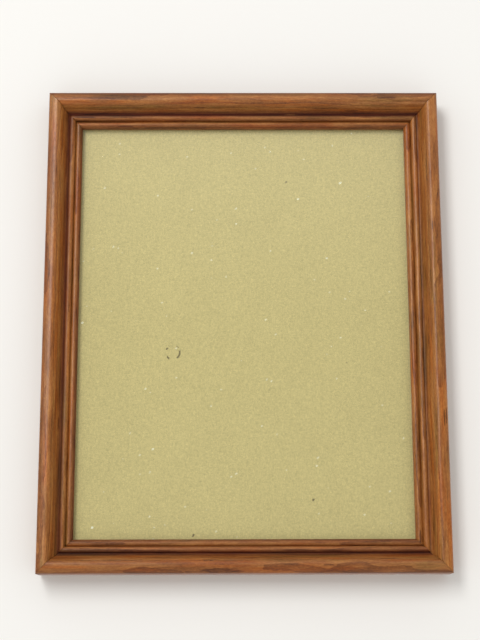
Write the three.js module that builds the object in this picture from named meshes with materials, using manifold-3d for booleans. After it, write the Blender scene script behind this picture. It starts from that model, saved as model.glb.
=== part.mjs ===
import * as THREE from "three";
import { mergeVertices } from "three/addons/utils/BufferGeometryUtils.js";
import Module from "manifold-3d";

// A shallow glazed display frame with four mitred wooden rails, hung on a wall by a sawtooth hanger.
// Millimetres. The front faces -Y and +Z is up. The origin lies on the wall plane, straight behind
// the middle notch of the hanger.

// Glazing and backing, both cut to one standard picture size
const glassWidth = 203.2;
const glassHeight = 254;
const glassThickness = 2;
const boardThickness = 2.4;

// Rail section: how wide and high it is, how far its lip covers the glass, and the play round the glass
const railWidth = 19;
const railHeight = 18;
const shoulderHeight = 15.1;
const crestInset = 5;
const lipCover = 6.85;
const edgeClearance = 0.8;
const layerGap = 0.1;
const boardRecess = 0.3;
const mitreGap = 0.15;

// Two beads run beside the sight edge. Insets are from that edge, heights from the back of the rail.
const innerBead = { inset: 2.05, height: 9, radius: 1.9 };
const outerBead = { inset: 5.75, height: 11, radius: 1.75 };
const sightEdgeHeight = 7.4;

// Corner fasteners: thin steel V nails pressed into the backs of the mitres, two at each corner
const vNailInsets = [4, 9.2];
const vNailReach = 1.6;
const vNailHalfWidth = 2.6;
const vNailThickness = 0.5;
const vNailLength = 8;

// Turn buttons that hold the board in, two to each rail, and the screws that they turn on
const buttonSpacingSide = 136;
const buttonSpacingEnd = 112;
const buttonPivotBack = 4;
const buttonWidth = 6.6;
const buttonReach = 10.5;
const buttonThickness = 1;
const buttonGap = 0.2;
const buttonTaper = 0.78;
const buttonTipRound = 1.6;
const screwRadius = 1.3;
const screwLength = 10;
const screwHeadRadius = 2.7;
const screwHeadHeight = 1.4;
const screwHeadGap = 0.1;
const screwSlotWidth = 0.7;
const screwSlotDepth = 0.6;
const screwSlotStep = 0.7;

// Sawtooth hanger and its two nails, at the middle of the top rail
const hangerWidth = 46;
const hangerHeight = 8;
const hangerSheet = 0.8;
const hangerFoot = 7;
const hangerRamp = 3;
const hangerLift = 1.5;
const hangerTopMargin = 1.3;
const toothPitch = 3;
const toothDepth = 1.6;
const notchCount = 9;
const notchShare = 0.8;
const nailRadius = 0.7;
const nailLength = 9;
const nailHeadRadius = 1.6;
const nailHeadHeight = 0.5;

// Soft bumpers that keep the bottom of the frame off the wall
const bumperRadius = 4.2;
const bumperHeight = 3;
const bumperCornerInset = 26;
const bumperRound = 0.8;
const bumperRoundSteps = 5;

// Play: round a fastener in a hole that it only passes through, and in one that is cut for it
const holeClearance = 0.3;
const cutClearance = 0.3;

// Sizes that follow from the ones above
const sightWidth = glassWidth - 2 * lipCover;
const sightHeight = glassHeight - 2 * lipCover;
const outerWidth = sightWidth + 2 * railWidth;
const outerHeight = sightHeight + 2 * railWidth;
const rabbetInset = railWidth - lipCover - edgeClearance;
const seatHeight = boardRecess + boardThickness + glassThickness + 2 * layerGap;
const backPlane = -bumperHeight;
const topEdge = hangerTopMargin + hangerHeight - toothDepth;
const middle = topEdge - outerHeight / 2;
const pivotInset = rabbetInset - buttonPivotBack;

const roundSegments = 32;
const curveSegments = 12;
const quarterTurn = Math.PI / 2;

const finishes = {
  wood: { color: 0x8a5530, roughness: 0.38, metalness: 0 },
  glass: { color: 0xeef4f0, roughness: 0.04, metalness: 0, transparent: true, opacity: 0.25 },
  board: { color: 0xc5b681, roughness: 0.9, metalness: 0 },
  zinc: { color: 0xb9bcc0, roughness: 0.38, metalness: 1 },
  brass: { color: 0xb8925a, roughness: 0.35, metalness: 1 },
  rubber: { color: 0x3a3632, roughness: 0.8, metalness: 0 },
};

const wasm = await Module();
wasm.setup();

const frame = new THREE.Group();

function makeMesh(name, geometry, finish) {
  const mesh = new THREE.Mesh(geometry, new THREE.MeshStandardMaterial(finishes[finish]));
  mesh.name = name;
  return mesh;
}

function solidOf(geometry) {
  const bare = geometry.clone();
  bare.deleteAttribute("normal");
  bare.deleteAttribute("uv");
  const merged = mergeVertices(bare);
  const triVerts = Uint32Array.from(merged.index.array);
  const vertProperties = Float32Array.from(merged.attributes.position.array);
  return new wasm.Manifold(new wasm.Mesh({ numProp: 3, vertProperties, triVerts }));
}

function geometryOf(solid) {
  const { vertProperties, triVerts } = solid.getMesh();
  const geometry = new THREE.BufferGeometry();
  geometry.setAttribute("position", new THREE.BufferAttribute(vertProperties, 3));
  geometry.setIndex(new THREE.BufferAttribute(triVerts, 1));
  geometry.computeVertexNormals();
  return geometry;
}

// Takes the tools, which are meshes in place, out of a mesh that is in place too.
function cut(mesh, tools) {
  mesh.updateMatrixWorld();
  const intoMesh = mesh.matrixWorld.clone().invert();
  let solid = solidOf(mesh.geometry);
  for (const tool of tools) {
    tool.updateMatrixWorld();
    const shape = tool.geometry.clone().applyMatrix4(tool.matrixWorld).applyMatrix4(intoMesh);
    solid = solid.subtract(solidOf(shape));
  }
  mesh.geometry = geometryOf(solid);
}

// A cylinder along Y, from the plane y = start towards the front.
function drill(radius, depth, x, z, start) {
  const tool = new THREE.Mesh(new THREE.CylinderGeometry(radius, radius, depth, roundSegments));
  tool.position.set(x, start - depth / 2, z);
  return tool;
}

// The four sides, each with its turn about Y that brings its outer edge from the top to its own side.
const sides = [
  { name: "top", length: outerWidth, turn: 0, spacing: buttonSpacingEnd },
  { name: "right", length: outerHeight, turn: quarterTurn, spacing: buttonSpacingSide },
  { name: "bottom", length: outerWidth, turn: 2 * quarterTurn, spacing: buttonSpacingEnd },
  { name: "left", length: outerHeight, turn: -quarterTurn, spacing: buttonSpacingSide },
];

// Puts a thing on a side: along the rail, inward from its outer edge, and at a height y.
function placeOnSide(thing, side, along, inset, y) {
  const across = side.name === "top" || side.name === "bottom" ? outerHeight : outerWidth;
  const spot = new THREE.Vector3(along, 0, across / 2 - inset);
  spot.applyAxisAngle(new THREE.Vector3(0, 1, 0), side.turn);
  thing.position.set(spot.x, y, middle + spot.z);
  thing.rotation.y = side.turn;
  return thing;
}

// The section of a rail: x is inward from its outer edge, y is up from its back.
function railSection() {
  const outerCentre = { x: railWidth - outerBead.inset, y: outerBead.height - outerBead.radius };
  const innerCentre = { x: railWidth - innerBead.inset, y: innerBead.height - innerBead.radius };
  const quirkAngle = THREE.MathUtils.degToRad(175);
  const quirk = {
    x: outerCentre.x + outerBead.radius * Math.cos(quirkAngle),
    y: outerCentre.y + outerBead.radius * Math.sin(quirkAngle),
  };
  const fall = quirk.x - crestInset;
  const shape = new THREE.Shape();
  shape.moveTo(0, 0);
  shape.lineTo(0, shoulderHeight);
  shape.bezierCurveTo(0, shoulderHeight + 1.9, crestInset * 0.45, railHeight, crestInset, railHeight);
  shape.bezierCurveTo(
    crestInset + fall * 0.56, railHeight, quirk.x - fall * 0.4, quirk.y + 0.3, quirk.x, quirk.y,
  );
  const beadEnd = THREE.MathUtils.degToRad(-20);
  shape.absarc(outerCentre.x, outerCentre.y, outerBead.radius, quirkAngle, beadEnd, true);
  const smallStart = THREE.MathUtils.degToRad(155);
  const smallEnd = THREE.MathUtils.degToRad(15);
  shape.absarc(innerCentre.x, innerCentre.y, innerBead.radius, smallStart, smallEnd, true);
  shape.lineTo(railWidth, sightEdgeHeight);
  shape.lineTo(railWidth, seatHeight);
  shape.lineTo(rabbetInset, seatHeight);
  shape.lineTo(rabbetInset, 0);
  shape.closePath();
  return shape;
}

// A rail along X with its outer edge up. Each end is mitred by drawing it in as far as the section
// reaches inward, less half of the glue line.
function railGeometry(length) {
  const geometry = new THREE.ExtrudeGeometry(railSection(), {
    depth: 1,
    steps: 1,
    bevelEnabled: false,
    curveSegments,
  });
  const points = geometry.attributes.position;
  for (let i = 0; i < points.count; i += 1) {
    const inset = points.getX(i);
    const height = points.getY(i);
    const end = length / 2 - inset - mitreGap * Math.SQRT1_2;
    points.setXYZ(i, points.getZ(i) > 0.5 ? -end : end, -height, -inset);
  }
  geometry.computeVertexNormals();
  return geometry;
}

// An outline in X and Z, where +Z is towards the outer edge, made solid from y = 0 towards the front.
function plateGeometry(shape, thickness) {
  const options = { depth: thickness, steps: 1, bevelEnabled: false, curveSegments };
  return new THREE.ExtrudeGeometry(shape, options).rotateX(quarterTurn);
}

// A chevron that opens towards the sight edge, grown by a margin all round.
function vNailGeometry(margin, length) {
  const leg = new THREE.Vector2(vNailHalfWidth, -vNailReach);
  const along = leg.clone().normalize();
  const half = vNailThickness / 2 + margin;
  const side = new THREE.Vector2(-along.y, along.x).multiplyScalar(half);
  const end = leg.addScaledVector(along, margin);
  const tip = half / along.x;
  const shape = new THREE.Shape();
  shape.moveTo(0, tip);
  shape.lineTo(-end.x - side.x, end.y + side.y);
  shape.lineTo(-end.x + side.x, end.y - side.y);
  shape.lineTo(0, -tip);
  shape.lineTo(end.x - side.x, end.y - side.y);
  shape.lineTo(end.x + side.x, end.y + side.y);
  shape.closePath();
  return plateGeometry(shape, length);
}

// A turn button: a rounded tongue that reaches from its screw over the board.
function buttonGeometry() {
  const end = buttonWidth / 2;
  const tip = end * buttonTaper;
  const shape = new THREE.Shape();
  shape.moveTo(-end, 0);
  shape.lineTo(-tip, buttonTipRound - buttonReach);
  shape.quadraticCurveTo(-tip, -buttonReach, buttonTipRound - tip, -buttonReach);
  shape.lineTo(tip - buttonTipRound, -buttonReach);
  shape.quadraticCurveTo(tip, -buttonReach, tip, buttonTipRound - buttonReach);
  shape.lineTo(end, 0);
  shape.absarc(0, 0, end, 0, Math.PI, false);
  const hole = new THREE.Path();
  hole.absarc(0, 0, screwRadius + holeClearance, 0, 2 * Math.PI, true);
  shape.holes.push(hole);
  return plateGeometry(shape, buttonThickness);
}

// A body of revolution about Y from [radius, height] pairs that start and end on the axis.
function turned(pairs) {
  const points = pairs.map(([radius, height]) => new THREE.Vector2(radius, height));
  return new THREE.LatheGeometry(points, roundSegments);
}

// A pan head screw. The underside of its head is at y = 0 and its shank points to the front.
function screwGeometry() {
  return turned([
    [0, -screwLength],
    [screwRadius, 2 * screwRadius - screwLength],
    [screwRadius, 0],
    [screwHeadRadius, 0],
    [screwHeadRadius, screwHeadHeight * 0.4],
    [screwHeadRadius * 0.87, screwHeadHeight * 0.78],
    [screwHeadRadius * 0.6, screwHeadHeight],
    [0, screwHeadHeight],
  ]);
}

function nailGeometry() {
  return turned([
    [0, -nailLength],
    [nailRadius, 3 * nailRadius - nailLength],
    [nailRadius, 0],
    [nailHeadRadius, 0],
    [nailHeadRadius, nailHeadHeight],
    [0, nailHeadHeight],
  ]);
}

// A soft round pad with its adhesive face at y = 0 and a rounded edge against the wall.
function bumperGeometry(height) {
  const pairs = [[0, 0], [bumperRadius, 0]];
  for (let step = 0; step <= bumperRoundSteps; step += 1) {
    const angle = (quarterTurn * step) / bumperRoundSteps;
    const radius = bumperRadius - bumperRound * (1 - Math.cos(angle));
    pairs.push([radius, height - bumperRound * (1 - Math.sin(angle))]);
  }
  pairs.push([0, height]);
  return turned(pairs);
}

// The hanger is a strip with a flat foot at each end and a raised middle, seen from below here.
function hangerGeometry() {
  const half = hangerWidth / 2;
  const bends = [
    [-half, 0],
    [hangerFoot - half, 0],
    [hangerFoot + hangerRamp - half, hangerLift],
    [half - hangerFoot - hangerRamp, hangerLift],
    [half - hangerFoot, 0],
    [half, 0],
  ];
  const near = bends.map(([x, y]) => new THREE.Vector2(x, y));
  const far = bends.map(([x, y]) => new THREE.Vector2(x, y + hangerSheet)).reverse();
  const options = { depth: hangerHeight, steps: 1, bevelEnabled: false };
  return new THREE.ExtrudeGeometry(new THREE.Shape([...near, ...far]), options);
}

// One notch between two teeth, with its seat at z = 0 and its mouth past the hanger's lower edge.
function notchTool(x) {
  const drop = toothDepth + 1;
  const half = (toothPitch * notchShare * drop) / toothDepth / 2;
  const corners = [[-half, -drop], [half, -drop], [0, 0]];
  const shape = new THREE.Shape(corners.map(([across, up]) => new THREE.Vector2(across, up)));
  const tool = new THREE.Mesh(plateGeometry(shape, bumperHeight + 2));
  tool.position.set(x, 1, 0);
  return tool;
}

const corners = [
  { name: "top_right", x: 1, z: 1, turn: quarterTurn / 2 },
  { name: "bottom_right", x: 1, z: -1, turn: quarterTurn * 1.5 },
  { name: "bottom_left", x: -1, z: -1, turn: -quarterTurn * 1.5 },
  { name: "top_left", x: -1, z: 1, turn: -quarterTurn / 2 },
];

// Puts a thing on a corner's mitre, inward from the outer corner, and at a height y.
function placeAtCorner(thing, corner, inset, y) {
  const step = inset * Math.SQRT1_2;
  const z = corner.z * (outerHeight / 2 - step);
  thing.position.set(corner.x * (outerWidth / 2 - step), y, middle + z);
  thing.rotation.y = corner.turn;
  return thing;
}

// The V nails, with slots for them that open through the backs of the rails
const slotTools = [];
for (const corner of corners) {
  vNailInsets.forEach((inset, i) => {
    const nail = makeMesh(`v_nail_${corner.name}_${i + 1}`, vNailGeometry(0, vNailLength), "zinc");
    const slot = new THREE.Mesh(vNailGeometry(cutClearance, vNailLength + 2 * cutClearance + 1));
    slotTools.push(placeAtCorner(slot, corner, inset, backPlane + 1));
    frame.add(placeAtCorner(nail, corner, inset, backPlane - cutClearance));
  });
}

// The turn buttons and their screws, with pilot holes for the screws
const buttonSeat = backPlane + buttonGap;
const headSeat = buttonSeat + buttonThickness + screwHeadGap;
const pilotDepth = screwLength - (headSeat - backPlane) + cutClearance;
const pilotTools = [];
sides.forEach((side, sideIndex) => {
  [-1, 1].forEach((way, i) => {
    const along = (way * side.spacing) / 2;
    const place = (thing, y) => placeOnSide(thing, side, along, pivotInset, y);
    const name = `${side.name}_${i + 1}`;
    const button = makeMesh(`turn_button_${name}`, buttonGeometry(), "brass");
    const screw = makeMesh(`button_screw_${name}`, screwGeometry(), "zinc");
    frame.add(place(button, buttonSeat + buttonThickness));
    place(screw, headSeat);
    const slotLength = 2 * screwHeadRadius + 1;
    const slot = new THREE.Mesh(new THREE.BoxGeometry(slotLength, 2 * screwSlotDepth, screwSlotWidth));
    slot.position.copy(screw.position);
    slot.position.y += screwHeadHeight;
    slot.rotation.y = (2 * sideIndex + i) * screwSlotStep;
    cut(screw, [slot]);
    frame.add(screw);
    const { x, z } = screw.position;
    pilotTools.push(drill(screwRadius + cutClearance, pilotDepth + 1, x, z, backPlane + 1));
  });
});

// The hanger and its nails
const hangerSeat = backPlane + layerGap;
const nailSeat = hangerSeat + hangerSheet + layerGap;
const nailHoleDepth = nailLength - (nailSeat - backPlane) + cutClearance;
const hangerNailX = (hangerWidth - hangerFoot) / 2;
const hangerNailZ = hangerHeight / 2 - toothDepth;
const hanger = makeMesh("sawtooth_hanger", hangerGeometry(), "zinc");
hanger.position.set(0, hangerSeat, -toothDepth);
const hangerTools = [];
for (let i = 0; i < notchCount; i += 1) {
  hangerTools.push(notchTool((i - (notchCount - 1) / 2) * toothPitch));
}
for (const [name, way] of [["left", -1], ["right", 1]]) {
  const x = way * hangerNailX;
  const nail = makeMesh(`hanger_nail_${name}`, nailGeometry(), "zinc");
  nail.position.set(x, nailSeat, hangerNailZ);
  frame.add(nail);
  hangerTools.push(drill(nailRadius + holeClearance, bumperHeight + 2, x, hangerNailZ, 1));
  const hole = drill(nailRadius + cutClearance, nailHoleDepth + 1, x, hangerNailZ, backPlane + 1);
  pilotTools.push(hole);
}
cut(hanger, hangerTools);
frame.add(hanger);

// The rails, each cut by the slots and holes that reach it
for (const side of sides) {
  const rail = makeMesh(`rail_${side.name}`, railGeometry(side.length), "wood");
  cut(placeOnSide(rail, side, 0, 0, backPlane), [...slotTools, ...pilotTools]);
  frame.add(rail);
}

// The glass on the lip of the rails, and the board behind it
const board = makeMesh("backing_board", new THREE.BoxGeometry(glassWidth, boardThickness, glassHeight), "board");
board.position.set(0, backPlane - boardRecess - boardThickness / 2, middle);
frame.add(board);
const glass = makeMesh("glass_pane", new THREE.BoxGeometry(glassWidth, glassThickness, glassHeight), "glass");
glass.position.set(0, backPlane - seatHeight + layerGap + glassThickness / 2, middle);
frame.add(glass);

// The bumpers, at the lower ends of the side rails
for (const [name, way] of [["left", -1], ["right", 1]]) {
  const bumper = makeMesh(`wall_bumper_${name}`, bumperGeometry(bumperHeight - layerGap), "rubber");
  const x = way * (outerWidth / 2 - rabbetInset / 2);
  bumper.position.set(x, backPlane + layerGap, middle - outerHeight / 2 + bumperCornerInset);
  frame.add(bumper);
}

export default frame;
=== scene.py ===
import math

import bmesh
import bpy
from bpy.props import FloatProperty, FloatVectorProperty, IntProperty, PointerProperty
from mathutils import Matrix, Vector, noise
from mathutils.geometry import interpolate_bezier


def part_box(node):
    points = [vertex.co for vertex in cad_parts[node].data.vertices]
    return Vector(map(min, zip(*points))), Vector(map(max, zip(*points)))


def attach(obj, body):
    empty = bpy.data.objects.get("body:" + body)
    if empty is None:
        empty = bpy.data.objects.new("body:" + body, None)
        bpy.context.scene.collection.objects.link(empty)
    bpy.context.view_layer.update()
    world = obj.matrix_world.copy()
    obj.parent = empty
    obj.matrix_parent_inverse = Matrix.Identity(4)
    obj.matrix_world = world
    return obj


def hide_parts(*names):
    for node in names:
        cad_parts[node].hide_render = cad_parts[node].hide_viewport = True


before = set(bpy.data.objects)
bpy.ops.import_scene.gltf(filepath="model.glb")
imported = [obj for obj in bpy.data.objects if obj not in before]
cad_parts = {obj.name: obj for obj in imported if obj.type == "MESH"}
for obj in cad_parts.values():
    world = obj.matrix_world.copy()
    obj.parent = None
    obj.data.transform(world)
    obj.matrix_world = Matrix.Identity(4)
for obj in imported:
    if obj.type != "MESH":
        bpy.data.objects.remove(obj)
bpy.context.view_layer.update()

bl_info = {
    "name": "Glazed display frame",
    "version": (1, 0, 0),
    "blender": (4, 5, 0),
    "location": "View3D > Sidebar > Display frame",
    "description": "A moulded wooden frame with glass, a chipboard back, turn buttons and a hanger",
    "category": "Object",
}

MM = 0.001
SIDES = ("top", "right", "bottom", "left")
SIDE_TURN = {side: i * math.pi / 2 for i, side in enumerate(SIDES)}
ROOT = "frame"

GLASS_LOW, GLASS_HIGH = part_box("glass_pane")
BOARD_LOW, BOARD_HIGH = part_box("backing_board")
RAIL_BOX = {side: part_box(f"rail_{side}") for side in SIDES}
OUTER_LEFT, OUTER_RIGHT = RAIL_BOX["left"][0].x, RAIL_BOX["right"][1].x
OUTER_BOTTOM, OUTER_TOP = RAIL_BOX["bottom"][0].z, RAIL_BOX["top"][1].z
BACK_PLANE = RAIL_BOX["top"][1].y
RAIL_WIDTH = RAIL_BOX["top"][1].z - RAIL_BOX["top"][0].z
RAIL_HEIGHT = BACK_PLANE - RAIL_BOX["top"][0].y
SEAT_HEIGHT = BACK_PLANE - GLASS_LOW.y
CENTRE = Vector(((OUTER_LEFT + OUTER_RIGHT) / 2, BACK_PLANE, (OUTER_BOTTOM + OUTER_TOP) / 2))
OUTER_WIDTH = OUTER_RIGHT - OUTER_LEFT
OUTER_HEIGHT = OUTER_TOP - OUTER_BOTTOM


# ---------------------------------------------------------------- sizes and colours


def length(name, description, value):
    return FloatProperty(name=name, description=description, default=value, unit="LENGTH", precision=5)


def colour(name, description, value):
    return FloatVectorProperty(
        name=name, description=description, default=value, subtype="COLOR", size=3, min=0, max=1
    )


class RailSizes(bpy.types.PropertyGroup):
    """The section of the moulding. Heights are from the back of the rail."""

    shoulder_height: length("Shoulder", "Height at which the outer side turns over", 15.1 * MM)
    crest_inset: length("Crest inset", "From the outer edge to the crest of the dome", 5 * MM)
    outer_bead_inset: length("Outer bead inset", "From the sight edge to the bead's crest", 5.75 * MM)
    outer_bead_height: length("Outer bead height", "Height of the larger bead", 11 * MM)
    outer_bead_radius: length("Outer bead radius", "Radius of the larger bead", 1.75 * MM)
    inner_bead_inset: length("Inner bead inset", "From the sight edge to the bead's crest", 2.05 * MM)
    inner_bead_height: length("Inner bead height", "Height of the smaller bead", 9 * MM)
    inner_bead_radius: length("Inner bead radius", "Radius of the smaller bead", 1.9 * MM)
    sight_edge_height: length("Sight edge", "Height of the sight edge", 7.4 * MM)
    rabbet_play: length("Rabbet play", "Room round the edge of the glass", 0.8 * MM)
    mitre_gap: length("Mitre gap", "Open glue line between two rails", 0.15 * MM)
    arris: length("Arris", "How far the edges of the mitre are eased", 0.09 * MM)
    unevenness: length("Unevenness", "How far sanding left the surface uneven", 0.035 * MM)


class HardwareSizes(bpy.types.PropertyGroup):
    """Stamped and turned pieces on the back."""

    pivot_hole: length("Pivot hole", "Radius of a turn button's hole", 1.6 * MM)
    edge_round: length("Edge round", "How far stamped edges are rounded", 0.16 * MM)
    shank_radius: length("Shank radius", "Radius of a button screw's shank", 1.3 * MM)
    slot_width: length("Slot width", "Width of the slot in a screw head", 0.7 * MM)
    slot_depth: length("Slot depth", "Depth of the slot in a screw head", 0.6 * MM)
    sheet: length("Hanger sheet", "Thickness of the hanger", 0.8 * MM)
    foot: length("Hanger foot", "Length of each flat foot of the hanger", 7 * MM)
    ramp: length("Hanger ramp", "Length over which the hanger rises", 3 * MM)
    tooth_pitch: length("Tooth pitch", "Distance between notches of the hanger", 3 * MM)
    tooth_depth: length("Tooth depth", "Depth of each notch", 1.6 * MM)
    notch_count: IntProperty(name="Notches", description="Notches in the hanger", default=9, min=1)
    nail_radius: length("Nail radius", "Radius of a hanger nail", 0.7 * MM)
    bumper_round: length("Bumper round", "Rounded edge of a bumper", 1.1 * MM)


class Finishes(bpy.types.PropertyGroup):
    """Colours of the finishes, as light is reflected."""

    stain_dark: colour("Dark stain", "Pores and grooves of the wood", (0.085, 0.020, 0.0030))
    stain_middle: colour("Middle stain", "Most of the wood", (0.315, 0.109, 0.0240))
    stain_light: colour("Light stain", "Hard late wood", (0.520, 0.222, 0.058))
    board: colour("Board", "Pressed chipboard", (0.625, 0.518, 0.236))
    board_dark: colour("Board fleck", "Dark pulp in the board", (0.10, 0.075, 0.045))
    brass: colour("Brass", "Plated turn buttons", (0.62, 0.43, 0.19))
    zinc: colour("Zinc", "Plated steel", (0.58, 0.59, 0.61))
    rubber: colour("Rubber", "Wall bumpers", (0.035, 0.031, 0.028))


class StageSettings(bpy.types.PropertyGroup):
    """Camera, lamps, wall and floor."""

    camera_distance: length("Camera distance", "From the wall to the camera", 0.784)
    camera_right: length("Camera offset", "Camera to the right of the frame's middle", -0.0077)
    camera_drop: length("Camera drop", "Camera below the frame's middle", 0.1746)
    camera_tilt: FloatProperty(
        name="Tilt", description="Camera looks up by this", default=math.radians(13.0), unit="ROTATION"
    )
    camera_pan: FloatProperty(
        name="Pan", description="Camera turns left by this", default=math.radians(-0.41), unit="ROTATION"
    )
    camera_roll: FloatProperty(
        name="Roll", description="Camera rolls by this", default=math.radians(-0.15), unit="ROTATION"
    )
    lens: FloatProperty(name="Lens", description="Focal length in millimetres", default=78.1)
    key_power: FloatProperty(name="Key", description="Power of the soft key lamp in watts", default=9.5)
    window_power: FloatProperty(name="Window", description="Power of the side lamp in watts", default=1.1)
    world_strength: FloatProperty(name="World", description="Strength of the even light", default=0.725)
    wall: colour("Wall", "Wall and floor", (0.925, 0.915, 0.89))


def settings(group):
    return getattr(bpy.context.scene, group)


# ---------------------------------------------------------------- mesh helpers


def new_piece(name, bm, material, body=ROOT, replaces=(), sharp=math.radians(32)):
    """Turns a finished bmesh into a named piece that rides on a body."""
    bmesh.ops.recalc_face_normals(bm, faces=bm.faces)
    mesh = bpy.data.meshes.new(name)
    bm.to_mesh(mesh)
    bm.free()
    mesh.shade_smooth()
    mesh.set_sharp_from_angle(angle=sharp)
    piece = bpy.data.objects.new(name, mesh)
    bpy.context.scene.collection.objects.link(piece)
    mesh.materials.append(material)
    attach(piece, body)
    if replaces:
        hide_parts(*replaces)
    return piece


def arc(centre, radius, start, end, steps):
    """Points on an arc about centre, angles in degrees."""
    turns = (math.radians(start + (end - start) * i / steps) for i in range(steps + 1))
    return [Vector((centre[0] + radius * math.cos(a), centre[1] + radius * math.sin(a))) for a in turns]


def bezier(a, b, c, d, steps):
    flat = (Vector((*p, 0)) for p in (a, b, c, d))
    return [Vector(p[:2]) for p in interpolate_bezier(*flat, steps + 1)]


def loop_edges(bm, points):
    """A closed loop of edges through points."""
    verts = [bm.verts.new(p) for p in points]
    return [bm.edges.new((verts[i - 1], verts[i])) for i in range(len(verts))]


def plate(loops, thickness):
    """A flat plate in X and Z between y = 0 and y = thickness. The first loop is its outline and the
    others are holes."""
    bm = bmesh.new()
    edges = []
    for points in loops:
        edges += loop_edges(bm, [(p[0], 0, p[1]) for p in points])
    bmesh.ops.triangle_fill(bm, use_beauty=True, use_dissolve=True, edges=edges)
    bmesh.ops.recalc_face_normals(bm, faces=bm.faces)
    made = bmesh.ops.extrude_face_region(bm, geom=list(bm.faces))
    top = [v for v in made["geom"] if isinstance(v, bmesh.types.BMVert)]
    bmesh.ops.translate(bm, vec=(0, thickness, 0), verts=top)
    bmesh.ops.recalc_face_normals(bm, faces=bm.faces)
    return bm


def bevel_sharp(bm, offset, segments=2, least=math.radians(50)):
    """Rounds every edge that turns by more than least."""
    edges = [e for e in bm.edges if len(e.link_faces) == 2 and e.calc_face_angle(0) > least]
    bmesh.ops.bevel(
        bm, geom=edges, offset=offset, offset_type="OFFSET", segments=segments, profile=0.5,
        affect="EDGES", material=-1, clamp_overlap=True,
    )


def turned(pairs, steps=40):
    """A body of revolution about Y from (radius, y) pairs that start and end on the axis."""
    bm = bmesh.new()
    verts = [bm.verts.new((radius, y, 0)) for radius, y in pairs]
    edges = [bm.edges.new(pair) for pair in zip(verts, verts[1:])]
    bmesh.ops.spin(
        bm, geom=verts + edges, cent=(0, 0, 0), axis=(0, 1, 0), angle=2 * math.pi, steps=steps,
        use_merge=True, use_duplicate=False,
    )
    bmesh.ops.remove_doubles(bm, verts=bm.verts, dist=1e-7)
    return bm


def move(bm, place, turn=0.0):
    """Turns a bmesh about Y, from +Z towards +X, and moves it into place."""
    bmesh.ops.transform(bm, matrix=Matrix.Translation(place) @ Matrix.Rotation(turn, 4, "Y"), verts=bm.verts)
    return bm


def box_centre(node):
    low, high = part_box(node)
    return (low + high) / 2


# ---------------------------------------------------------------- materials


class Recipe:
    """A short way to write a node material."""

    def __init__(self, name):
        self.material = bpy.data.materials.new(name)
        self.material.use_nodes = True
        self.tree = self.material.node_tree
        self.tree.nodes.clear()
        self.output = self.tree.nodes.new("ShaderNodeOutputMaterial")

    def node(self, kind, sockets=(), **options):
        made = self.tree.nodes.new(kind)
        for key, value in options.items():
            setattr(made, key, value)
        for key, value in dict(sockets).items():
            self.feed(made.inputs[key], value)
        return made

    def feed(self, socket, value):
        if isinstance(value, bpy.types.NodeSocket):
            self.tree.links.new(value, socket)
        else:
            socket.default_value = value

    def math(self, operation, a, b=0.0, clamp=False):
        made = self.node("ShaderNodeMath", {0: a, 1: b}, operation=operation, use_clamp=clamp)
        return made.outputs[0]

    def vector(self, operation, a, b=(0, 0, 0)):
        made = self.node("ShaderNodeVectorMath", operation=operation)
        self.feed(made.inputs[0], a)
        self.feed(made.inputs[1], b)
        return made.outputs["Value" if operation == "DISTANCE" else "Vector"]

    def stretched(self, vector, scale):
        return self.vector("MULTIPLY", vector, scale)

    def millimetres(self):
        """The place on the piece, in millimetres."""
        return self.stretched(self.node("ShaderNodeTexCoord").outputs["Object"], (1000, 1000, 1000))

    def total(self, parts):
        """The sum of values from 0 to 1, each measured from its middle and times its weight."""
        summed = 0.0
        for value, weight in parts:
            share = self.math("MULTIPLY", self.math("SUBTRACT", value, 0.5), weight)
            summed = self.math("ADD", summed, share)
        return summed

    def noise(self, vector, scale, detail=2.0, roughness=0.5, distortion=0.0):
        made = self.node(
            "ShaderNodeTexNoise",
            {
                "Vector": vector, "Scale": scale, "Detail": detail, "Roughness": roughness,
                "Distortion": distortion,
            },
        )
        return made.outputs["Fac"]

    def range(self, value, low, high, to_low=0.0, to_high=1.0):
        """Maps low to to_low and high to to_high, with eased ends."""
        made = self.node(
            "ShaderNodeMapRange",
            {"Value": value, "From Min": low, "From Max": high, "To Min": to_low, "To Max": to_high},
            interpolation_type="SMOOTHSTEP",
        )
        return made.outputs["Result"]

    def ramp(self, value, stops):
        made = self.node("ShaderNodeValToRGB", {"Fac": value})
        elements = made.color_ramp.elements
        while len(elements) < len(stops):
            elements.new(0.5)
        for element, (position, rgb) in zip(elements, stops):
            element.position = position
            element.color = (*rgb, 1)
        return made.outputs["Color"]

    def mix(self, factor, a, b, blend="MIX"):
        made = self.node("ShaderNodeMix", data_type="RGBA", blend_type=blend)
        self.feed(made.inputs["Factor"], factor)
        for key, value in (("A", a), ("B", b)):
            socket = next(s for s in made.inputs if s.name == key and s.type == "RGBA")
            self.feed(socket, (*value, 1) if isinstance(value, (tuple, list)) and len(value) == 3 else value)
        return next(s for s in made.outputs if s.type == "RGBA")

    def spots(self, vector, scale, share, size):
        """1 inside the spots that a share of the cells of a pattern carry."""
        cells = self.node("ShaderNodeTexVoronoi", {"Vector": vector, "Scale": scale, "Randomness": 1.0})
        chance = self.node("ShaderNodeSeparateColor", {"Color": cells.outputs["Color"]}).outputs["Red"]
        inside = self.math("LESS_THAN", cells.outputs["Distance"], size)
        return self.math("MULTIPLY", inside, self.math("LESS_THAN", chance, share))

    def bump(self, height, strength, distance):
        made = self.node("ShaderNodeBump", {"Height": height, "Strength": strength, "Distance": distance})
        return made.outputs["Normal"]

    def finish(self, shader):
        self.tree.links.new(shader, self.output.inputs["Surface"])
        return self.material


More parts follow.
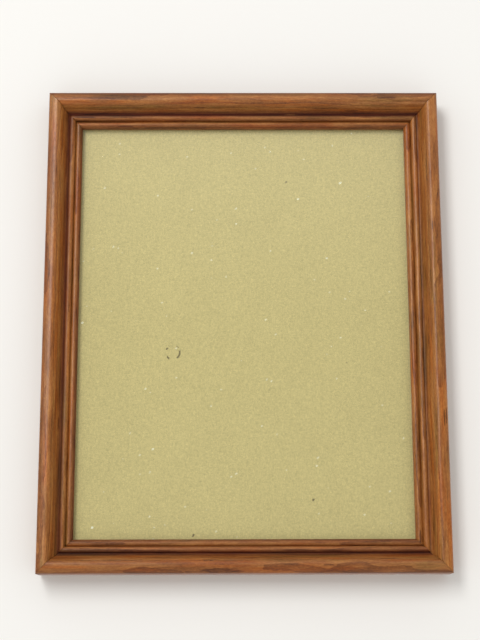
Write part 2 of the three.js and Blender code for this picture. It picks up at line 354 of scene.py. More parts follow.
def wood_material():
    """Brown stained open-pored wood under a satin lacquer. It reads two attributes of the piece. In
    grain, X runs along the rail, Y inward from its outer edge and Z up from its back, in millimetres.
    The other attribute darkens the wood: partly stain pooled in the hollows, partly painted shade that
    differs from rail to rail with how the light falls."""
    tints = settings("frame_finishes")
    dark, middle, light = tuple(tints.stain_dark), tuple(tints.stain_middle), tuple(tints.stain_light)
    r = Recipe("stained_wood")
    grain = r.node("ShaderNodeAttribute", attribute_name="grain").outputs["Vector"]
    stain_and_shade = r.node("ShaderNodeAttribute", attribute_name="stain_and_shade").outputs["Fac"]
    parts = r.node("ShaderNodeSeparateXYZ", {"Vector": grain})

    sway = r.noise(r.stretched(grain, (0.012, 0.05, 0.05)), 1.0, 2.0)
    bend = r.noise(r.stretched(grain, (0.06, 0.2, 0.2)), 1.0, 3.0)
    shift = r.math("ADD", r.math("MULTIPLY", sway, 22.0), r.math("MULTIPLY", bend, 4.5))
    across = r.math("ADD", r.math("SUBTRACT", parts.outputs["Y"], 52.0), shift)
    upward = r.math("ADD", r.math("MULTIPLY", parts.outputs["Z"], 1.3), 30.0)
    radius = r.math("SQRT", r.math("ADD", r.math("POWER", across, 2.0), r.math("POWER", upward, 2.0)))
    rings = r.math("FRACT", r.math("DIVIDE", radius, 4.3))
    early = r.range(rings, 0.30, 0.02)
    late = r.range(rings, 0.45, 0.90)

    fibre = r.noise(r.stretched(grain, (0.10, 1.1, 1.1)), 1.0, 4.0, 0.62)
    fine = r.noise(r.stretched(grain, (0.60, 2.1, 2.1)), 1.0, 4.0, 0.70)
    patch = r.noise(r.stretched(grain, (0.030, 0.16, 0.16)), 1.0, 3.0, 0.55)
    hue = r.noise(r.stretched(grain, (0.022, 0.24, 0.24)), 1.0, 3.0, 0.6)
    pores = r.range(r.noise(r.stretched(grain, (0.30, 2.6, 2.6)), 1.0, 3.0, 0.6), 0.56, 0.66)
    pores = r.math("MULTIPLY", pores, r.math("ADD", r.math("MULTIPLY", early, 0.65), 0.35))

    tone = r.total(((fibre, 0.95), (fine, 1.15), (patch, 0.90)))
    tone = r.math("ADD", tone, r.math("MULTIPLY", late, 0.12))
    tone = r.math("SUBTRACT", tone, r.math("MULTIPLY", early, 0.20))
    tone = r.math("ADD", tone, 0.55, clamp=True)
    half = [0.5 * a + 0.5 * b for a, b in zip(dark, middle)]
    base = r.ramp(tone, [(0.0, dark), (0.22, half), (0.52, middle), (1.0, light)])
    base = r.mix(r.range(hue, 0.50, 0.66, 0.0, 0.85), base, (1.08, 0.82, 0.50), "MULTIPLY")
    base = r.mix(r.range(hue, 0.48, 0.32, 0.0, 0.85), base, (0.66, 0.78, 0.70), "MULTIPLY")
    # Darkens the colour by the second attribute: stain pooled in the quirk and groove, plus painted shade on
    # the slopes and along the sight edge, set apart rail by rail for how the light falls.
    base = r.mix(stain_and_shade, base, (0.22, 0.075, 0.025), "MULTIPLY")
    base = r.mix(r.math("MULTIPLY", pores, 0.60), base, dark)
    ragged = r.stretched(grain, (0.045, 0.40, 0.40))
    ragged = r.vector("ADD", ragged, r.math("MULTIPLY", fine, 0.35))
    base = r.mix(r.math("MULTIPLY", r.spots(ragged, scale=1.0, share=0.10, size=0.22), 0.75), base, dark)
    scuffs = r.math("MULTIPLY", r.spots(ragged, scale=0.7, share=0.06, size=0.14), 0.35)
    base = r.mix(scuffs, base, light)

    height = r.math("SUBTRACT", r.math("MULTIPLY", fine, 0.9), pores)
    height = r.math("ADD", height, r.math("MULTIPLY", fibre, 0.5))
    roughness = r.math("ADD", r.math("MULTIPLY", fine, 0.32), r.math("MULTIPLY", pores, 0.18))
    roughness = r.math("ADD", roughness, r.math("MULTIPLY", stain_and_shade, 0.40))
    roughness = r.math("ADD", roughness, 0.19)
    shader = r.node(
        "ShaderNodeBsdfPrincipled",
        {
            "Base Color": base, "Roughness": roughness, "Normal": r.bump(height, 0.50, 0.10 * MM),
            "Specular IOR Level": 0.32, "Coat Roughness": 0.14,
            "Coat Weight": r.range(stain_and_shade, 0.0, 0.6, 0.10, 0.0),
        },
    )
    return r.finish(shader.outputs["BSDF"])


PALE_PULP = (0.93, 0.90, 0.70)


def old_mark(recipe, mm):
    """A small broken ring of dark bits on the front, a fifth of the width left of the board's middle."""
    ring_radius, ring_line = 4.0, 0.5
    size = (BOARD_HIGH - BOARD_LOW) / MM
    middle = (BOARD_LOW + BOARD_HIGH) / (2 * MM)
    centre = (middle.x - size.x / 5, 0, middle.z - size.z / 18)
    flat = recipe.stretched(mm, (1, 0, 1))
    off = recipe.math("SUBTRACT", recipe.vector("DISTANCE", flat, centre), ring_radius)
    line = recipe.math("LESS_THAN", recipe.math("ABSOLUTE", off), ring_line)
    broken = recipe.math("GREATER_THAN", recipe.noise(mm, 0.34, 1.0), 0.52)
    bits = recipe.math("MULTIPLY", line, broken)
    front = recipe.node("ShaderNodeSeparateXYZ", {"Vector": mm}).outputs["Y"]
    return recipe.math("MULTIPLY", bits, recipe.math("LESS_THAN", front, middle.y))


def board_material():
    """Pressed grey-yellow chipboard: short fibres, soft clouds and a few dark or pale bits of pulp."""
    tints = settings("frame_finishes")
    base, dark = tuple(tints.board), tuple(tints.board_dark)
    r = Recipe("pressed_chipboard")
    mm = r.millimetres()
    clouds = r.noise(mm, 0.035, 3.0, 0.55)
    mottle = r.noise(mm, 0.9, 3.0, 0.65)
    fibres = r.noise(r.stretched(mm, (0.6, 1.0, 1.7)), 1.0, 3.0, 0.70, 0.8)
    crossing = r.noise(r.stretched(mm, (1.6, 1.0, 0.55)), 1.0, 3.0, 0.70, 0.8)
    tone = r.total(((clouds, 0.08), (mottle, 0.34), (fibres, 0.62), (crossing, 0.62)))
    tone = r.math("ADD", tone, 0.5, clamp=True)
    surface = r.ramp(tone, [(0.25, [c * 0.74 for c in base]), (0.5, base), (0.75, [c * 1.22 for c in base])])
    ragged = r.vector("ADD", mm, r.math("MULTIPLY", fibres, 3.0))
    for scale, share, size, strength, tint in (
        (0.35, 0.04, 0.20, 0.6, PALE_PULP),
        (0.12, 0.08, 0.085, 0.95, PALE_PULP),
        (0.15, 0.014, 0.12, 0.8, dark),
    ):
        bits = r.spots(ragged, scale, share, size)
        surface = r.mix(r.math("MULTIPLY", bits, strength), surface, tint)
    surface = r.mix(r.math("MULTIPLY", old_mark(r, mm), 0.75), surface, dark)

    height = r.math("ADD", fibres, crossing)
    shader = r.node(
        "ShaderNodeBsdfPrincipled",
        {
            "Base Color": surface, "Roughness": r.range(mottle, 0.3, 0.7, 0.86, 0.96),
            "Normal": r.bump(height, 0.25, 0.06 * MM), "Specular IOR Level": 0.25,
        },
    )
    return r.finish(shader.outputs["BSDF"])


def glass_material():
    """Thin clear float glass. Lamps reach what is behind it through a plain see-through shader."""
    r = Recipe("clear_glass")
    place = r.node("ShaderNodeTexCoord").outputs["Object"]
    smears = r.noise(r.stretched(place, (14, 14, 9)), 1.0, 4.0, 0.6, 0.8)
    glass = r.node(
        "ShaderNodeBsdfPrincipled",
        {
            "Base Color": (0.975, 0.99, 0.98, 1), "Roughness": r.range(smears, 0.45, 0.75, 0.0, 0.035),
            "IOR": 1.5, "Transmission Weight": 1.0,
        },
    )
    clear = r.node("ShaderNodeBsdfTransparent", {"Color": (0.965, 0.98, 0.97, 1)})
    path = r.node("ShaderNodeLightPath")
    shader = glass.outputs["BSDF"]
    for ray in ("Is Diffuse Ray", "Is Shadow Ray"):
        both = r.node("ShaderNodeMixShader", {0: path.outputs[ray]})
        r.feed(both.inputs[1], shader)
        r.feed(both.inputs[2], clear.outputs["BSDF"])
        shader = both.outputs["Shader"]
    return r.finish(shader)


def metal_material(name, tint, rough, tarnish):
    """Plated stamped steel: fine scratches, cloudy plating and dull spots."""
    r = Recipe(name)
    mm = r.millimetres()
    clouds = r.noise(mm, 0.35, 3.0, 0.6)
    scratches = r.noise(r.stretched(mm, (9.0, 9.0, 0.7)), 1.0, 3.0, 0.6, 0.4)
    spots = r.range(r.noise(mm, 1.4, 3.0, 0.65), 0.56, 0.70)
    base = r.mix(r.range(clouds, 0.3, 0.75), [c * 0.82 for c in tint], tint)
    base = r.mix(r.math("MULTIPLY", spots, tarnish), base, [c * 0.35 for c in tint])
    roughness = r.math("ADD", r.math("MULTIPLY", scratches, 0.22), r.math("MULTIPLY", spots, 0.2))
    roughness = r.math("ADD", roughness, rough - 0.11)
    shader = r.node(
        "ShaderNodeBsdfPrincipled",
        {
            "Base Color": base, "Roughness": roughness, "Metallic": 1.0,
            "Normal": r.bump(scratches, 0.2, 0.02 * MM),
        },
    )
    return r.finish(shader.outputs["BSDF"])


def rubber_material():
    r = Recipe("soft_rubber")
    mm = r.millimetres()
    pits = r.noise(mm, 2.2, 4.0, 0.65)
    dust = r.range(r.noise(mm, 0.5, 3.0, 0.6), 0.5, 0.75)
    tint = tuple(settings("frame_finishes").rubber)
    base = r.mix(r.math("MULTIPLY", dust, 0.4), tint, [c * 2.6 + 0.02 for c in tint])
    shader = r.node(
        "ShaderNodeBsdfPrincipled",
        {
            "Base Color": base, "Roughness": r.range(pits, 0.3, 0.7, 0.62, 0.85),
            "Normal": r.bump(pits, 0.3, 0.05 * MM), "Specular IOR Level": 0.35,
        },
    )
    return r.finish(shader.outputs["BSDF"])


def wall_material():
    """Pale paint. From behind it is clear, so that the back of the frame can be seen."""
    r = Recipe("pale_wall")
    place = r.node("ShaderNodeTexCoord").outputs["Object"]
    paint = tuple(settings("frame_stage").wall)
    base = r.mix(r.range(r.noise(place, 3.0, 2.0), 0.3, 0.7), [c * 0.99 for c in paint], paint)
    matt = r.node("ShaderNodeBsdfDiffuse", {"Color": base, "Roughness": 0.9})
    clear = r.node("ShaderNodeBsdfTransparent", {"Color": (1, 1, 1, 1)})
    behind = r.node("ShaderNodeNewGeometry").outputs["Backfacing"]
    both = r.node("ShaderNodeMixShader", {0: behind})
    r.feed(both.inputs[1], matt.outputs["BSDF"])
    r.feed(both.inputs[2], clear.outputs["BSDF"])
    return r.finish(both.outputs["Shader"])


# ---------------------------------------------------------------- wooden rails


def rail_section(sizes):
    """The moulding's outline as (inset from the outer edge, height above the back), front first."""
    shoulder = Vector((0, sizes.shoulder_height))
    crest = Vector((sizes.crest_inset, RAIL_HEIGHT))
    outer = (RAIL_WIDTH - sizes.outer_bead_inset, sizes.outer_bead_height - sizes.outer_bead_radius)
    inner = (RAIL_WIDTH - sizes.inner_bead_inset, sizes.inner_bead_height - sizes.inner_bead_radius)
    quirk = arc(outer, sizes.outer_bead_radius, 175, 175, 1)[0]
    fall = quirk.x - crest.x
    rabbet = BOARD_LOW.z - OUTER_BOTTOM - sizes.rabbet_play
    rise = shoulder + Vector((0, 1.9 * MM))
    points = bezier(shoulder, rise, (crest.x * 0.45, crest.y), crest, 12)
    leave = (crest.x + fall * 0.56, crest.y)
    arrive = (quirk.x - fall * 0.4, quirk.y + 0.3 * MM)
    points += bezier(crest, leave, arrive, quirk, 20)[1:]
    points += arc(outer, sizes.outer_bead_radius, 175, -20, 18)[1:]
    points += arc(inner, sizes.inner_bead_radius, 155, 15, 12)
    points += [Vector((RAIL_WIDTH, sizes.sight_edge_height)), Vector((RAIL_WIDTH, SEAT_HEIGHT))]
    points += [Vector((rabbet, SEAT_HEIGHT)), Vector((rabbet, 0)), Vector((0, 0))]
    points += [Vector((0, sizes.shoulder_height * step)) for step in (0.5, 0.85)]
    return points


CUTS_ALONG = 90        # rows of vertices along a rail, for its unevenness
SEED_STEP = 211.0      # sets the rails' grain apart
BACK_STAIN = 0.3       # how deep the stain lies off the front

# How dark each rail's front is made, as shares of stain pooled in the hollows and painted shade that
# differs from rail to rail with how the light falls: all over, down the outer shoulder, in the quirk beside
# the dome, in the groove between the beads and along the sight edge. Shares add up, and 1 is the deepest.
STAIN_AND_SHADE = {
    "top": {"all": 0.05, "shoulder": 0.65, "quirk": 1.10, "groove": 0.35, "lip": 0.50},
    "right": {"all": -0.05, "shoulder": 0.10, "quirk": 0.35, "groove": 0.0, "lip": 0.15},
    "bottom": {"all": 0.20, "shoulder": 0.20, "quirk": 0.75, "groove": 0.20, "lip": 0.45},
    "left": {"all": 0.0, "shoulder": 0.25, "quirk": 0.85, "groove": 0.0, "lip": 0.60},
}


def fade(distance, reach):
    """1 at no distance, falling smoothly to 0 at reach."""
    share = max(1 - abs(distance) / reach, 0)
    return share * share * (3 - 2 * share)


def stain_and_shade_at(side, inset, sizes):
    """How dark the front is made at an inset from the rail's outer edge: pooled stain with painted shade."""
    depth = STAIN_AND_SHADE[side]
    quirk = RAIL_WIDTH - sizes.outer_bead_inset - sizes.outer_bead_radius
    groove = RAIL_WIDTH - (sizes.outer_bead_inset + sizes.inner_bead_inset) / 2
    share = depth["all"] + depth["shoulder"] * fade(inset, 4.2 * MM)
    share += depth["quirk"] * fade(inset - quirk, 2.6 * MM) + depth["groove"] * fade(inset - groove, 1.7 * MM)
    return share + depth["lip"] * fade(RAIL_WIDTH - inset, 2.8 * MM)


def rail(side, sizes, material):
    """One moulding, swept along X, mitred by two planes and turned to its side of the frame."""
    upright = side in ("left", "right")
    half = (OUTER_HEIGHT if upright else OUTER_WIDTH) / 2
    reach = (OUTER_WIDTH if upright else OUTER_HEIGHT) / 2
    bm = bmesh.new()
    start = -half - 2 * MM
    section = [(start, BACK_PLANE - height, reach - inset) for inset, height in rail_section(sizes)]
    face = bm.faces.new([bm.verts.new(point) for point in section])
    made = bmesh.ops.extrude_face_region(bm, geom=[face])
    moved = [v for v in made["geom"] if isinstance(v, bmesh.types.BMVert)]
    bmesh.ops.translate(bm, vec=(-2 * start, 0, 0), verts=moved)
    long_edges = [e for e in bm.edges if abs(e.verts[0].co.x - e.verts[1].co.x) > half]
    bmesh.ops.subdivide_edges(bm, edges=long_edges, cuts=CUTS_ALONG, use_grid_fill=True)
    for way in (-1, 1):
        corner = Vector((way * (half - sizes.mitre_gap * math.sqrt(0.5)), 0, reach))
        cut = bmesh.ops.bisect_plane(
            bm, geom=bm.verts[:] + bm.edges[:] + bm.faces[:], dist=1e-7, plane_co=corner,
            plane_no=(way, 0, -1), clear_outer=True,
        )
        rim = [e for e in cut["geom_cut"] if isinstance(e, bmesh.types.BMEdge)]
        bmesh.ops.contextual_create(bm, geom=rim)
    bmesh.ops.recalc_face_normals(bm, faces=bm.faces)
    ends = [f for f in bm.faces if abs(f.normal.x) > 0.6 and len(f.verts) > 20]
    arrises = {e for f in ends for e in f.edges if all(v.co.y < BACK_PLANE - 1 * MM for v in e.verts)}
    bmesh.ops.bevel(
        bm, geom=list(arrises), offset=sizes.arris, offset_type="OFFSET", segments=1, profile=0.5,
        affect="EDGES", material=-1, clamp_overlap=True,
    )
    bm.normal_update()
    seed = SIDES.index(side) * SEED_STEP
    for v in bm.verts:
        inset, height = reach - v.co.z, BACK_PLANE - v.co.y
        if height > SEAT_HEIGHT and inset < RAIL_WIDTH - 0.1 * MM:
            place = Vector((v.co.x * 55, inset * 190, height * 190)) + Vector((seed, 0, 0))
            v.co -= v.normal * sizes.unevenness * (0.5 + 0.5 * noise.noise(place))
    grain = bm.verts.layers.float_vector.new("grain")
    stain_and_shade = bm.verts.layers.float.new("stain_and_shade")
    for v in bm.verts:
        inset, height = (reach - v.co.z) / MM, (BACK_PLANE - v.co.y) / MM
        v[grain] = (v.co.x / MM + seed * 3, inset, height)
        # The front carries pooled stain with painted shade; the back and sides get one even darker tone.
        v[stain_and_shade] = stain_and_shade_at(side, inset * MM, sizes) if height > SEAT_HEIGHT / MM + 0.5 else BACK_STAIN
    move(bm, CENTRE - Vector((0, BACK_PLANE, 0)), SIDE_TURN[side])
    return new_piece(
        f"wood_rail_{side}", bm, material, replaces=[f"rail_{side}"], sharp=math.radians(40)
    )


class DISPLAY_OT_rails(bpy.types.Operator):
    """Four mitred rails of stained wood"""

    bl_idname = "display_frame.rails"
    bl_label = "Wooden rails"

    def execute(self, context):
        material = wood_material()
        for side in SIDES:
            rail(side, settings("frame_rails"), material)
        return {"FINISHED"}


# ---------------------------------------------------------------- glass and board


def slab(low, high, round_by, material, name, node):
    """A flat sheet between two corners with slightly eased edges."""
    bm = bmesh.new()
    size = high - low
    place = Matrix.Translation((low + high) / 2) @ Matrix.Diagonal((*size, 1))
    bmesh.ops.create_cube(bm, size=1.0, matrix=place)
    bmesh.ops.bevel(
        bm, geom=bm.edges[:], offset=round_by, offset_type="OFFSET", segments=2, profile=0.5,
        affect="EDGES", material=-1, clamp_overlap=True,
    )
    return new_piece(name, bm, material, replaces=[node], sharp=math.radians(15))


class DISPLAY_OT_glass(bpy.types.Operator):
    """The glass pane with its ground edges"""

    bl_idname = "display_frame.glass"
    bl_label = "Glass pane"

    def execute(self, context):
        slab(GLASS_LOW, GLASS_HIGH, 0.25 * MM, glass_material(), "glass_sheet", "glass_pane")
        return {"FINISHED"}


class DISPLAY_OT_board(bpy.types.Operator):
    """The pressed board behind the glass"""

    bl_idname = "display_frame.board"
    bl_label = "Backing board"

    def execute(self, context):
        slab(
            BOARD_LOW, BOARD_HIGH, 0.2 * MM, board_material(), "chipboard_sheet", "backing_board"
        )
        return {"FINISHED"}


# ---------------------------------------------------------------- hardware on the back


def each_button():
    """Name, pivot and turn of each turn button and its screw."""
    for side in SIDES:
        for number in (1, 2):
            yield f"{side}_{number}", box_centre(f"button_screw_{side}_{number}"), side, number


def button_mesh(name, side, sizes):
    """A stamped tongue with a rounded head, a pivot hole and a pressed rib."""
    low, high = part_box(f"turn_button_{name}")
    size = high - low
    wide = min(size.x, size.z) / 2
    reach = max(size.x, size.z) - wide
    tip = wide * 0.78
    curl = 1.6 * MM
    outline = arc((0, 0), wide, 180, 0, 24)
    leave, arrive = (tip, curl / 2 - reach), (tip - curl / 2, -reach)
    corner = bezier((tip, curl - reach), leave, arrive, (tip - curl, -reach), 6)
    outline += corner + [Vector((-p.x, p.y)) for p in reversed(corner)]
    hole = arc((0, 0), sizes.pivot_hole, 0, 360, 24)[:-1]
    bm = plate([outline, hole], size.y)
    bevel_sharp(bm, sizes.edge_round)
    return bm, low.y


class DISPLAY_OT_turn_buttons(bpy.types.Operator):
    """Eight turn buttons, each on its own body"""

    bl_idname = "display_frame.turn_buttons"
    bl_label = "Turn buttons"

    def execute(self, context):
        sizes = settings("frame_hardware")
        material = metal_material("brassed_steel", tuple(settings("frame_finishes").brass), 0.30, 0.35)
        for name, pivot, side, number in each_button():
            bm, low = button_mesh(name, side, sizes)
            move(bm, (pivot.x, low, pivot.z), SIDE_TURN[side])
            node = f"turn_button_{name}"
            new_piece(f"brass_{node}", bm, material, body=node, replaces=[node])
        return {"FINISHED"}


def slotted(bm, sizes, top, radius):
    """Cuts a slot of the given width and depth across the head of a turned screw."""
    half, floor = sizes.slot_width / 2, top - sizes.slot_depth
    planes = (((half, 0, 0), (1, 0, 0)), ((-half, 0, 0), (1, 0, 0)), ((0, floor, 0), (0, 1, 0)))
    for place, normal in planes:
        bmesh.ops.bisect_plane(
            bm, geom=bm.verts[:] + bm.edges[:] + bm.faces[:], dist=1e-8, plane_co=place, plane_no=normal
        )
    centres = ((f, f.calc_center_median()) for f in bm.faces)
    waste = [f for f, at in centres if abs(at.x) < half and at.y > floor]
    bmesh.ops.delete(bm, geom=waste, context="FACES")
    near = 1e-6
    open_ends = (v for v in bm.verts if v.is_boundary and abs(v.co.y - floor) < near)
    ends = [v for v in open_ends if abs(abs(v.co.x) - half) < near]
    for group in (lambda v: v.co.x > 0, lambda v: v.co.x < 0):
        pair = sorted((v for v in ends if group(v)), key=lambda v: v.co.z)
        bm.edges.new((pair[0], pair[-1]))
    rim = [e for e in bm.edges if len(e.link_faces) < 2]
    for wall in (half, -half):
        edges = [e for e in rim if all(abs(v.co.x - wall) < near for v in e.verts)]
        bmesh.ops.contextual_create(bm, geom=edges)
    edges = [e for e in rim if all(abs(v.co.y - floor) < near for v in e.verts)]
    bmesh.ops.contextual_create(bm, geom=edges)


class DISPLAY_OT_screws(bpy.types.Operator):
    """The slotted pan head screws that the buttons turn on"""

    bl_idname = "display_frame.screws"
    bl_label = "Button screws"

    def execute(self, context):
        sizes = settings("frame_hardware")
        material = metal_material("zinc_screws", tuple(settings("frame_finishes").zinc), 0.30, 0.45)
        for name, pivot, side, number in each_button():
            low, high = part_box(f"button_screw_{name}")
            head = (high.x - low.x) / 2
            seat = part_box(f"turn_button_{name}")[1].y + 0.1 * MM
            rise = high.y - seat
            shank = sizes.shank_radius
            outline = [(0, low.y), (shank * 0.35, low.y + shank * 0.5)]
            for turn in range(6):
                at = low.y + 2 * shank + turn * 1.1 * MM
                outline += [(shank * 0.78, at), (shank, at + 0.45 * MM)]
            outline += [(shank, seat), (head, seat), (head, seat + rise * 0.34)]
            outline += [(head * 0.97, seat + rise * 0.50), (head * 0.87, seat + rise * 0.78)]
            outline += [(head * 0.62, seat + rise * 0.96), (0, high.y)]
            bm = turned(outline)
            slotted(bm, sizes, high.y, head)
            move(bm, (pivot.x, 0, pivot.z), 0.7 * (2 * SIDES.index(side) + number - 1))
            node = f"button_screw_{name}"
            new_piece(f"zinc_{node}", bm, material, replaces=[node])
        return {"FINISHED"}


def hanger_outline(low, high, sizes):
    """The strip's outline with its row of notches in the lower edge."""
    top, edge = high.z, low.z
    deep, pitch, half = sizes.tooth_depth, sizes.tooth_pitch, sizes.tooth_pitch * 0.4
    points = [(low.x, top), (high.x, top), (high.x, edge)]
    for i in range(sizes.notch_count):
        x = (low.x + high.x) / 2 + ((sizes.notch_count - 1) / 2 - i) * pitch
        points += [(x + half, edge), (x + 0.18 * MM, edge + deep - 0.25 * MM), (x, edge + deep)]
        points += [(x - 0.18 * MM, edge + deep - 0.25 * MM), (x - half, edge)]
    return points + [(low.x, edge)]


class DISPLAY_OT_hanger(bpy.types.Operator):
    """The sawtooth hanger and the two nails that hold it"""

    bl_idname = "display_frame.hanger"
    bl_label = "Sawtooth hanger"

    def execute(self, context):
        sizes = settings("frame_hardware")
        material = metal_material("zinc_hanger", tuple(settings("frame_finishes").zinc), 0.34, 0.5)
        low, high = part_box("sawtooth_hanger")
        nails = [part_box(f"hanger_nail_{way}") for way in ("left", "right")]
        holes = []
        for nail_low, nail_high in nails:
            at = (nail_low + nail_high) / 2
            holes.append(arc((at.x, at.z), sizes.nail_radius + 0.3 * MM, 0, 360, 20)[:-1])
        bm = plate([hanger_outline(low, high, sizes)] + holes, sizes.sheet)
        half = (high.x - low.x) / 2
        middle = (high.x + low.x) / 2
        steps = [half - sizes.foot - sizes.ramp * i / 6 for i in range(7)]
        for at in [middle + way * step for way in (-1, 1) for step in steps]:
            bmesh.ops.bisect_plane(
                bm, geom=bm.verts[:] + bm.edges[:] + bm.faces[:], dist=1e-7, plane_co=(at, 0, 0),
                plane_no=(1, 0, 0),
            )
        lift = high.y - low.y - sizes.sheet
        for v in bm.verts:
            share = min(max((half - sizes.foot - abs(v.co.x - middle)) / sizes.ramp, 0), 1)
            v.co.y += low.y + lift * (3 * share ** 2 - 2 * share ** 3)
        bevel_sharp(bm, sizes.edge_round * 0.6, segments=1)
        new_piece("zinc_sawtooth_hanger", bm, material, replaces=["sawtooth_hanger"])
        for way, (nail_low, nail_high) in zip(("left", "right"), nails):
            at = (nail_low + nail_high) / 2
            head = (nail_high.x - nail_low.x) / 2
            seat = nail_high.y - 0.5 * MM
            r = sizes.nail_radius
            outline = [(0, nail_low.y), (r, nail_low.y + 3 * r), (r, seat), (head, seat)]
            outline += [(head, seat + 0.2 * MM), (head * 0.86, nail_high.y - 0.08 * MM)]
            bm = turned(outline + [(head * 0.6, nail_high.y), (0, nail_high.y)], steps=28)
            node = f"hanger_nail_{way}"
            new_piece(f"zinc_{node}", move(bm, (at.x, 0, at.z)), material, replaces=[node])
        return {"FINISHED"}


class DISPLAY_OT_bumpers(bpy.types.Operator):
    """Two soft bumpers at the lower corners"""

    bl_idname = "display_frame.bumpers"
    bl_label = "Wall bumpers"

    def execute(self, context):
        sizes = settings("frame_hardware")
        material = rubber_material()
        for way in ("left", "right"):
            node = f"wall_bumper_{way}"
            low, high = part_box(node)
            radius = (high.x - low.x) / 2
            rounding = sizes.bumper_round
            rim = arc((radius - rounding, high.y - rounding), rounding, 0, 90, 8)
            outline = [(0, low.y), (radius * 0.97, low.y), (radius, low.y + 0.2 * MM)]
            outline += [(p.x, p.y) for p in rim] + [(0, high.y - 0.12 * MM)]
            bm = turned(outline, steps=48)
            at = (low + high) / 2
            new_piece(f"rubber_{node}", move(bm, (at.x, 0, at.z)), material, replaces=[node])
        return {"FINISHED"}


class DISPLAY_OT_v_nails(bpy.types.Operator):
    """Bent steel nails that pull each mitre together, driven flush with the back"""

    bl_idname = "display_frame.v_nails"
    bl_label = "V nails"

    def execute(self, context):
        material = metal_material("zinc_v_nails", tuple(settings("frame_finishes").zinc), 0.36, 0.6)
        corners = {"top_right": 1, "bottom_right": 3, "bottom_left": -3, "top_left": -1}
        for corner, eighths in corners.items():
            for number in (1, 2):
                node = f"v_nail_{corner}_{number}"
                low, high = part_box(node)
                bm = v_nail(high.y - low.y)
                at = (low + high) / 2
                move(bm, (at.x, BACK_PLANE + 0.03 * MM, at.z), eighths * math.pi / 4)
                new_piece(f"zinc_{node}", bm, material, replaces=[node])
        return {"FINISHED"}


def v_nail(depth):
    """A chevron of thin steel with rolled ends, centred on its own box."""
    wing, drop, half = 2.6 * MM, 1.6 * MM, 0.25 * MM
    spread = half / math.hypot(wing, drop)
    side = Vector((drop * spread, wing * spread))
    tip = half * math.hypot(wing, drop) / wing
    left, right = Vector((-wing, -drop)), Vector((wing, -drop))
    flip = Vector((-side.x, side.y))
    points = [Vector((0, tip)), right + side, right - side, Vector((0, -tip)), left - flip, left + flip]
    middle = Vector((0, (tip - drop - side.y) / 2))
    bm = plate([[p - middle for p in points]], depth)
    bevel_sharp(bm, 0.08 * MM, segments=1)
    bmesh.ops.translate(bm, vec=(0, -depth, 0), verts=bm.verts)
    return bm


# ---------------------------------------------------------------- stage


def backdrop(wide, up, down, out, curve):
    """A wall that sweeps round into a floor, as one strip. It shades nothing and sends no light back, so
    that the back of the frame is lit too."""
    bm = bmesh.new()
    wall = 0.2 * MM
    bend = arc((wall - curve, curve - down), curve, 0, -90, 12)
    profile = [(wall, up)] + [(p.x, p.y) for p in bend] + [(-out, -down)]
    verts = [bm.verts.new((-wide, y, CENTRE.z + z)) for y, z in profile]
    edges = [bm.edges.new(pair) for pair in zip(verts, verts[1:])]
    made = bmesh.ops.extrude_edge_only(bm, edges=edges)
    moved = [v for v in made["geom"] if isinstance(v, bmesh.types.BMVert)]
    bmesh.ops.translate(bm, vec=(2 * wide, 0, 0), verts=moved)
    bm.normal_update()
    for face in bm.faces:
        if face.normal.dot(Vector((0, -1, 1))) < 0:
            face.normal_flip()
    mesh = bpy.data.meshes.new("backdrop")
    bm.to_mesh(mesh)
    bm.free()
    mesh.shade_smooth()
    sweep = bpy.data.objects.new("backdrop", mesh)
    mesh.materials.append(wall_material())
    sweep.visible_shadow = sweep.visible_diffuse = sweep.visible_glossy = False
    bpy.context.scene.collection.objects.link(sweep)
    return sweep


def room_material(low, high):
    """A dim room that glass, metal and lacquer mirror. It thins out towards its top."""
    r = Recipe("dim_room")
    height = r.node("ShaderNodeSeparateXYZ", {"Vector": r.node("ShaderNodeTexCoord").outputs["Object"]})
    dark = r.node("ShaderNodeBsdfDiffuse", {"Color": (0.10, 0.095, 0.09, 1)})
    clear = r.node("ShaderNodeBsdfTransparent", {"Color": (1, 1, 1, 1)})
    both = r.node("ShaderNodeMixShader", {0: r.range(height.outputs["Z"], low, high)})
    r.feed(both.inputs[1], dark.outputs["BSDF"])
    r.feed(both.inputs[2], clear.outputs["BSDF"])
    return r.finish(both.outputs["Shader"])


def dim_room(radius, low, high):
    """Half a drum round the front of the frame, seen only in reflections."""
    bm = bmesh.new()
    verts = [bm.verts.new((radius, 0, z)) for z in (-2.0, low, high, high + 0.05)]
    edges = [bm.edges.new(pair) for pair in zip(verts, verts[1:])]
    bmesh.ops.spin(
        bm, geom=verts + edges, cent=(0, 0, 0), axis=(0, 0, 1), angle=-math.pi, steps=32, use_duplicate=False
    )
    mesh = bpy.data.meshes.new("dim_room")
    bm.to_mesh(mesh)
    bm.free()
    room = bpy.data.objects.new("dim_room", mesh)
    mesh.materials.append(room_material(low, high))
    bpy.context.scene.collection.objects.link(room)
    room.visible_camera = room.visible_diffuse = room.visible_shadow = False
    return room


def soft_lamp(name, place, target, wide, high, power, tint=(1, 1, 1)):
    lamp = bpy.data.lights.new(name, "AREA")
    lamp.shape = "RECTANGLE"
    lamp.size, lamp.size_y = wide, high
    lamp.energy = power
    lamp.color = tint
    made = bpy.data.objects.new(name, lamp)
    made.location = place
    made.rotation_euler = (Vector(target) - Vector(place)).to_track_quat("-Z", "Y").to_euler()
    bpy.context.scene.collection.objects.link(made)
    return made


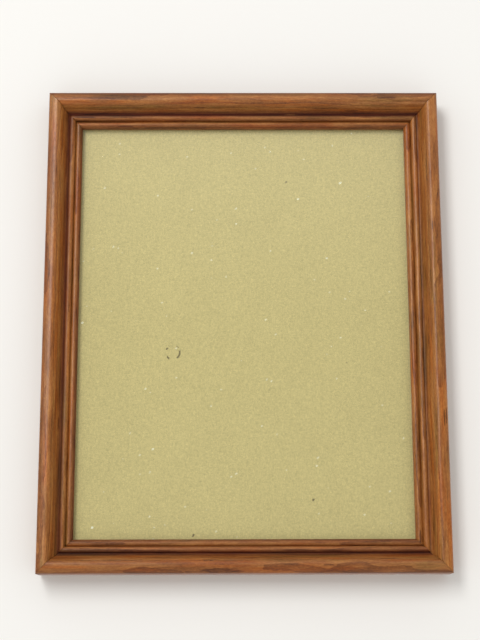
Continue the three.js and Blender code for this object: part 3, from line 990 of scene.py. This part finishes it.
def even_world(strength):
    """Even light all round. The camera, metal and glass see it as white."""
    world = bpy.data.worlds.new("studio")
    world.use_nodes = True
    tree = world.node_tree
    tree.nodes.clear()
    output = tree.nodes.new("ShaderNodeOutputWorld")
    light, white = tree.nodes.new("ShaderNodeBackground"), tree.nodes.new("ShaderNodeBackground")
    light.inputs["Strength"].default_value = strength
    light.inputs["Color"].default_value = (1, 0.995, 0.985, 1)
    white.inputs["Color"].default_value = (1, 1, 1, 1)
    path = tree.nodes.new("ShaderNodeLightPath")
    seen = path.outputs["Is Camera Ray"]
    for ray in ("Is Glossy Ray", "Is Transmission Ray"):
        either = tree.nodes.new("ShaderNodeMath")
        either.operation = "MAXIMUM"
        tree.links.new(seen, either.inputs[0])
        tree.links.new(path.outputs[ray], either.inputs[1])
        seen = either.outputs[0]
    mix = tree.nodes.new("ShaderNodeMixShader")
    tree.links.new(seen, mix.inputs[0])
    tree.links.new(light.outputs[0], mix.inputs[1])
    tree.links.new(white.outputs[0], mix.inputs[2])
    tree.links.new(mix.outputs[0], output.inputs["Surface"])
    bpy.context.scene.world = world


class DISPLAY_OT_stage(bpy.types.Operator):
    """Wall, floor, soft light and camera"""

    bl_idname = "display_frame.stage"
    bl_label = "Stage"

    def execute(self, context):
        stage = settings("frame_stage")
        backdrop(wide=2.4, up=1.6, down=0.75, out=2.6, curve=0.3)
        even_world(stage.world_strength)
        dim_room(radius=2.2, low=0.25, high=1.3)
        soft_lamp("key", (-0.50, -1.36, 0.365), CENTRE, 0.4, 0.8, stage.key_power)
        window = soft_lamp("window", (-0.66, -0.62, 0.10), CENTRE, 0.10, 0.62, stage.window_power)
        window.visible_diffuse = False
        lens = bpy.data.cameras.new("camera")
        lens.lens, lens.sensor_width = stage.lens, 36
        camera = bpy.data.objects.new("camera", lens)
        turn = Matrix.Rotation(stage.camera_pan, 4, "Z")
        turn @= Matrix.Rotation(math.pi / 2 + stage.camera_tilt, 4, "X")
        place = (CENTRE.x + stage.camera_right, -stage.camera_distance, CENTRE.z - stage.camera_drop)
        camera.matrix_world = Matrix.Translation(place) @ turn @ Matrix.Rotation(stage.camera_roll, 4, "Z")
        context.scene.collection.objects.link(camera)
        context.scene.camera = camera
        context.scene.view_settings.view_transform = "Standard"
        return {"FINISHED"}


# ---------------------------------------------------------------- panel and registration


OPERATORS = (
    DISPLAY_OT_rails, DISPLAY_OT_glass, DISPLAY_OT_board, DISPLAY_OT_turn_buttons, DISPLAY_OT_screws,
    DISPLAY_OT_hanger, DISPLAY_OT_bumpers, DISPLAY_OT_v_nails, DISPLAY_OT_stage,
)
GROUPS = {
    "frame_rails": RailSizes,
    "frame_hardware": HardwareSizes,
    "frame_finishes": Finishes,
    "frame_stage": StageSettings,
}


class DISPLAY_PT_frame(bpy.types.Panel):
    """Builds the display frame piece by piece"""

    bl_idname = "DISPLAY_PT_frame"
    bl_label = "Display frame"
    bl_space_type = "VIEW_3D"
    bl_region_type = "UI"
    bl_category = "Display frame"

    def draw(self, context):
        for operator in OPERATORS:
            self.layout.operator(operator.bl_idname)
        for name, group in GROUPS.items():
            box = self.layout.box()
            for field in group.__annotations__:
                box.prop(getattr(context.scene, name), field)


def register():
    for group in (*GROUPS.values(), *OPERATORS, DISPLAY_PT_frame):
        bpy.utils.register_class(group)
    for name, group in GROUPS.items():
        setattr(bpy.types.Scene, name, PointerProperty(type=group))


def unregister():
    for name in GROUPS:
        delattr(bpy.types.Scene, name)
    for group in reversed((*GROUPS.values(), *OPERATORS, DISPLAY_PT_frame)):
        bpy.utils.unregister_class(group)


def main():
    register()
    for operator in OPERATORS:
        group, name = operator.bl_idname.split(".")
        getattr(getattr(bpy.ops, group), name)()


if __name__ == "__main__":
    main()
